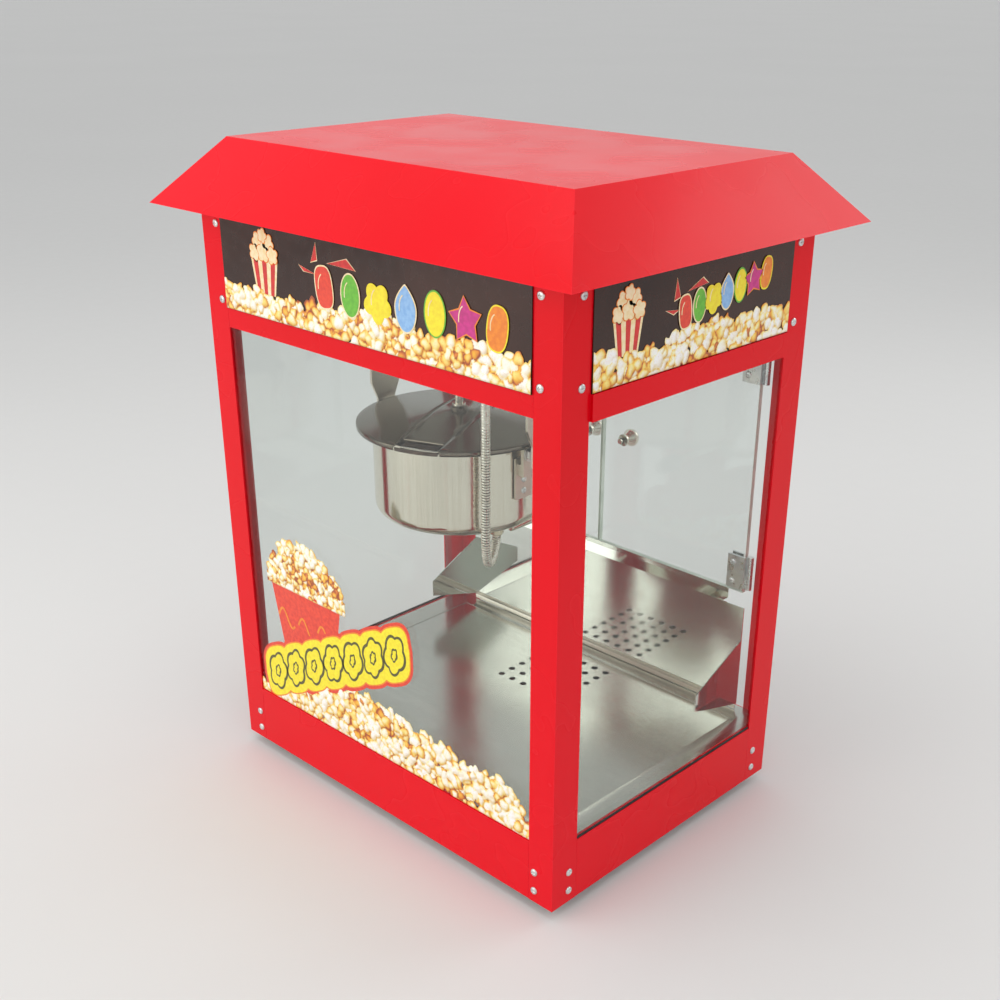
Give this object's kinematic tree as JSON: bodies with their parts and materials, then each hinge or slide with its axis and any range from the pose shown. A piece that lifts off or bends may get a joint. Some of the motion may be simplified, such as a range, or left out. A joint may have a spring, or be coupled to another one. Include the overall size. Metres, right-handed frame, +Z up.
{
  "type": "popcorn maker",
  "caption": "Countertop popcorn maker: glazed red cabinet with hipped roof, tipping kettle with stirrer and lid flaps, sifting floor, kernel drawer, serving flap and rear doors.",
  "frame": {"origin": "on the table under the centre of the cabinet, at the bottom of the rubber feet", "axes": "+X along the width, -Y towards the customer's glass front, +Y towards the operator's doors, +Z up"},
  "size_m": [0.56, 0.42, 0.68],
  "materials": {
    "red_paint": "glossy powder coat on sheet steel",
    "stainless_satin": "satin brushed stainless sheet",
    "stainless_polished": "mirror polished stainless",
    "printed_panel": "glossy printed film, dark ground with a band of popcorn",
    "clear_glass": "clear tempered glass",
    "rubber": "matte black moulded rubber",
    "black_plastic": "moulded black plastic",
    "switch_red": "glossy translucent red plastic",
    "zinc_steel": "galvanised steel",
    "cast_aluminium": "rough cast aluminium",
    "element_steel": "heat-darkened steel sheath",
    "brass": "plain machined brass",
    "ceramic": "glazed white ceramic",
    "armoured_cable": "wound steel armour"
  },
  "bodies": {
    "cabinet": {"post_front_left": "red_paint", "post_front_right": "red_paint", "post_rear_left": "red_paint", "post_rear_right": "red_paint", "base_box": "red_paint", "base_bottom_plate": "zinc_steel", "foot_front_left": "rubber", "foot_front_right": "rubber", "foot_rear_left": "rubber", "foot_rear_right": "rubber", "header_front": "red_paint", "header_rear": "red_paint", "header_left": "red_paint", "header_right": "red_paint", "print_panel_front": "printed_panel", "print_panel_left": "printed_panel", "print_panel_right": "printed_panel", "roof": "red_paint", "glass_front": "clear_glass", "glass_left": "clear_glass", "glass_right": "clear_glass", "floor_tray": "stainless_satin", "warming_element": "element_steel", "ceiling_pan": "stainless_satin", "hanger_left": "stainless_polished", "hanger_right": "stainless_polished", "gear_motor": "zinc_steel", "lamp_holder": "ceramic", "lamp_bulb": "clear_glass", "switch_plate": "black_plastic", "cord_gland": "black_plastic", "flap_hinge_leaf": "stainless_polished", "kettle_cable": "armoured_cable"},
    "drawer": {"kernel_drawer": "stainless_satin"},
    "rocker_heat": {"rocker_heat": "switch_red"},
    "rocker_stir": {"rocker_stir": "switch_red"},
    "rocker_light": {"rocker_light": "switch_red"},
    "drive": {"drive_shaft": "stainless_polished"},
    "kettle": {"kettle_pot": "stainless_satin", "kettle_jacket": "stainless_polished", "heater_plate": "cast_aluminium", "trunnion_left": "stainless_polished", "trunnion_right": "stainless_polished", "lid_bar": "stainless_polished", "dump_handle": "stainless_polished", "dump_grip": "black_plastic", "kettle_gland": "brass"},
    "lid_left": {"lid_flap_left": "stainless_polished"},
    "lid_right": {"lid_flap_right": "stainless_polished"},
    "stirrer": {"stirrer": "stainless_polished"},
    "flap": {"serving_flap": "stainless_polished"},
    "door_left": {"door_left": "clear_glass", "door_clamp_lower_left": "stainless_polished", "door_clamp_upper_left": "stainless_polished", "door_knob_left": "stainless_polished"},
    "door_right": {"door_right": "clear_glass", "door_clamp_lower_right": "stainless_polished", "door_clamp_upper_right": "stainless_polished", "door_knob_right": "stainless_polished"}
  },
  "joints": [
    {"name": "drawer_slide", "type": "slide", "parent": "cabinet", "child": "drawer", "axis": [0, 1, 0], "range_m": [0, 0.12]},
    {"name": "heat_switch", "type": "hinge", "parent": "cabinet", "child": "rocker_heat", "pos_m": [-0.042, 0.1773, 0.56], "axis": [1, 0, 0], "range_deg": [0, 18]},
    {"name": "stir_switch", "type": "hinge", "parent": "cabinet", "child": "rocker_stir", "pos_m": [0, 0.1773, 0.56], "axis": [1, 0, 0], "range_deg": [0, 18]},
    {"name": "light_switch", "type": "hinge", "parent": "cabinet", "child": "rocker_light", "pos_m": [0.042, 0.1773, 0.56], "axis": [1, 0, 0], "range_deg": [0, 18]},
    {"name": "drive_spin", "type": "hinge", "parent": "cabinet", "child": "drive", "pos_m": [-0.04, -0.02, 0.51], "axis": [0, 0, 1], "continuous": true},
    {"name": "kettle_tilt", "type": "hinge", "parent": "cabinet", "child": "kettle", "pos_m": [-0.04, -0.02, 0.394], "axis": [-1, 0, 0], "range_deg": [0, 105], "deforming": ["kettle_cable"]},
    {"name": "lid_left_hinge", "type": "hinge", "parent": "kettle", "child": "lid_left", "pos_m": [-0.0619, -0.0288, 0.4148], "axis": [-0.3746, 0.9272, 0], "range_deg": [0, 70]},
    {"name": "lid_right_hinge", "type": "hinge", "parent": "kettle", "child": "lid_right", "pos_m": [-0.0181, -0.0112, 0.4148], "axis": [0.3746, -0.9272, 0], "range_deg": [0, 70]},
    {"name": "stirrer_spin", "type": "hinge", "parent": "kettle", "child": "stirrer", "pos_m": [-0.04, -0.02, 0.42], "axis": [0, 0, 1], "continuous": true},
    {"name": "flap_hinge", "type": "hinge", "parent": "cabinet", "child": "flap", "pos_m": [0, 0.1695, 0.083], "axis": [-1, 0, 0], "range_deg": [0, 60]},
    {"name": "door_left_hinge", "type": "hinge", "parent": "cabinet", "child": "door_left", "pos_m": [-0.2085, 0.168, 0.36], "axis": [0, 0, 1], "range_deg": [0, 95]},
    {"name": "door_right_hinge", "type": "hinge", "parent": "cabinet", "child": "door_right", "pos_m": [0.2085, 0.168, 0.36], "axis": [0, 0, -1], "range_deg": [0, 95]}
  ],
  "couplings": [
    {"joint": "stirrer_spin", "follows": "drive_spin", "ratio": 1}
  ]
}
